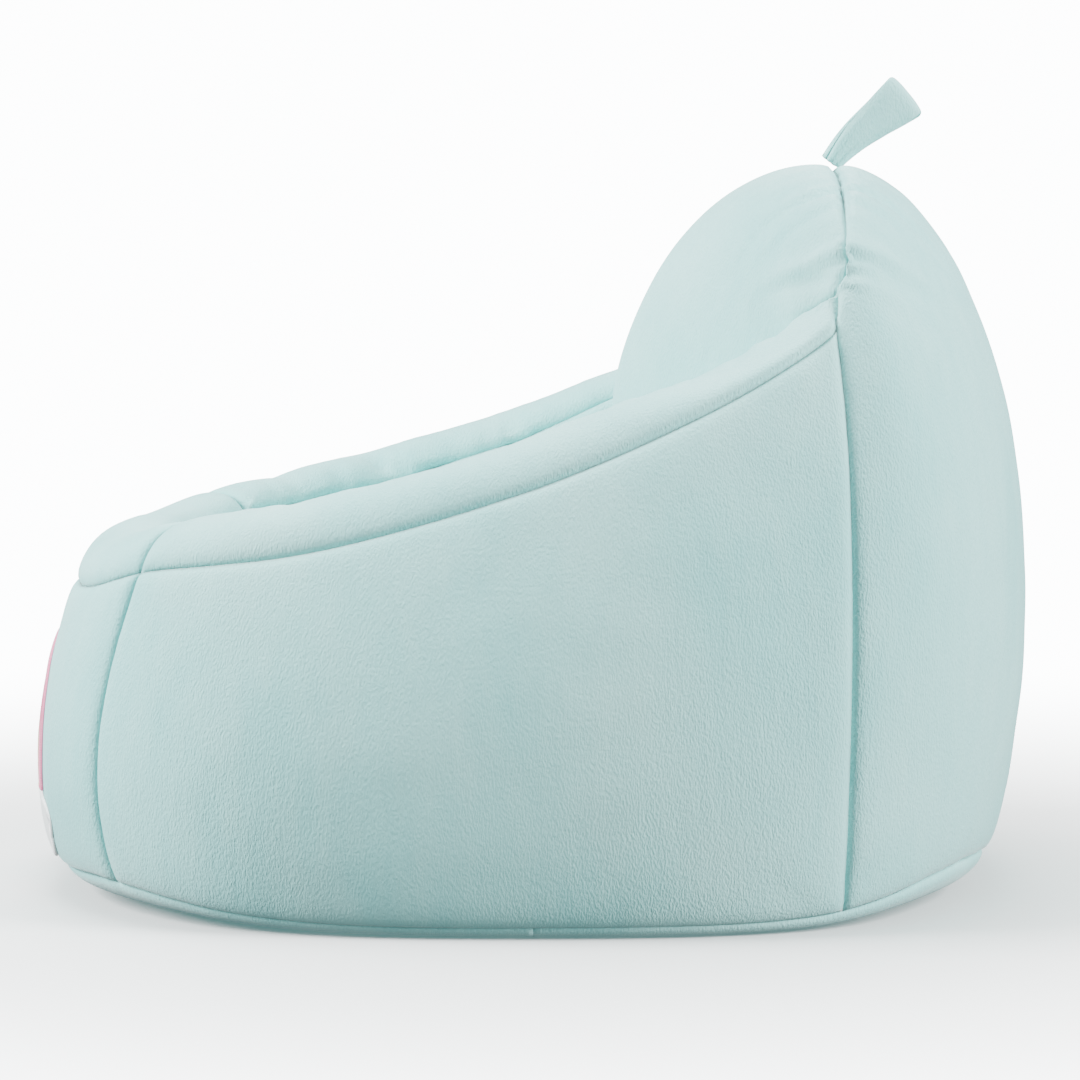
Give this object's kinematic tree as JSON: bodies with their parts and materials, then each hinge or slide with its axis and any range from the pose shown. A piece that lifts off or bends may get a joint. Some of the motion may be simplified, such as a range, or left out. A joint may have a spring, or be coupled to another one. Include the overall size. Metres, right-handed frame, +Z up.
{
  "type": "bean bag armchair",
  "caption": "Low bean bag armchair with a rounded backrest, plump arm bands, a carry loop on top, a hidden base zip and a rainbow patch on the front.",
  "frame": {"origin": "on the floor under the middle of the chair's outline", "axes": "+X towards the back of the chair, +Y towards the sitter's left, +Z up"},
  "size_m": [0.6867, 0.6054, 0.5549],
  "materials": {
    "plush": "soft short-pile plush",
    "zip_tape": "woven tape",
    "zip_coil": "satin",
    "zip_metal": "satin",
    "label": "satin ribbon",
    "liner": "thin woven lining",
    "beans": "expanded foam beads",
    "rainbow_pink": "felt",
    "rainbow_yellow": "felt",
    "rainbow_green": "felt",
    "rainbow_blue": "felt",
    "cloud": "felt"
  },
  "bodies": {
    "cover": {"front_panel": "plush", "side_panel_right": "plush", "side_panel_left": "plush", "back_panel": "plush", "front_band": "plush", "arm_band_right": "plush", "arm_band_left": "plush", "inner_wall_panel": "plush", "seat_panel": "plush", "backrest_panel": "plush", "base_panel_front": "plush", "base_panel_rear": "plush", "zip_tape_front": "zip_tape", "zip_tape_rear": "zip_tape", "zip_coil_front": "zip_coil", "zip_coil_rear": "zip_coil", "zip_end_stops": "zip_metal", "care_label": "label", "inner_liner": "liner", "bean_fill": "beans", "rainbow_pink": "rainbow_pink", "rainbow_yellow": "rainbow_yellow", "rainbow_green": "rainbow_green", "rainbow_blue": "rainbow_blue", "cloud_right": "cloud", "cloud_left": "cloud"},
    "slider": {"zip_slider": "zip_metal"},
    "handle": {"carry_handle": "plush"}
  },
  "joints": [
    {"name": "zip_slide", "type": "slide", "parent": "cover", "child": "slider", "axis": [0, 1, 0], "range_m": [0, 0.377]},
    {"name": "handle_hinge", "type": "hinge", "parent": "cover", "child": "handle", "pos_m": [0.2124, 0, 0.5026], "axis": [0, 1, 0], "range_deg": [-110, 30]}
  ]
}
